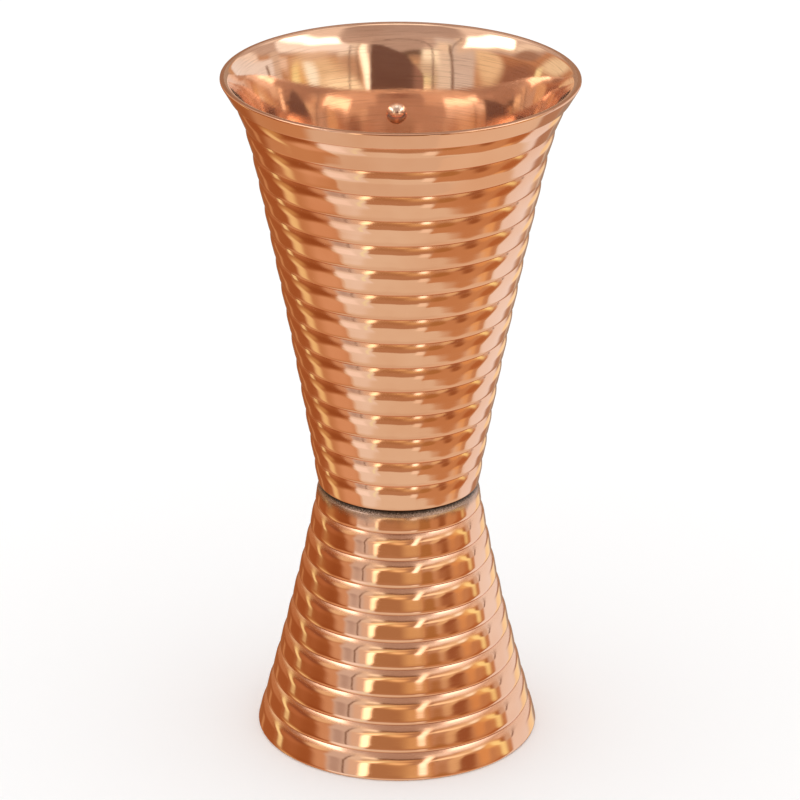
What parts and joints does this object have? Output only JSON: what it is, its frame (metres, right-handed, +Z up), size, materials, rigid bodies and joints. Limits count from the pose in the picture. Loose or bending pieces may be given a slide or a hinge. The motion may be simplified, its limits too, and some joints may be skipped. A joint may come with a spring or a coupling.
{
  "type": "bar jigger",
  "caption": "Double-ended bar jigger: two conical measuring cups joined floor to floor, with stepped ring sides, a flared rim and a domed mark inside.",
  "frame": {"origin": "middle of the foot's resting plane, on the cups' common axis", "axes": "+Z up the cups' common axis from the small cup to the large cup; +Y towards the domed mark inside the large cup"},
  "size_m": [0.0526, 0.0526, 0.1042],
  "materials": {
    "cup_copper": "polished copper",
    "solder": "dull tin solder",
    "stud_copper": "polished copper"
  },
  "bodies": {
    "root": {"upper_cup": "cup_copper", "lower_cup": "cup_copper", "waist_solder": "solder", "measure_stud": "stud_copper"}
  },
  "joints": []
}
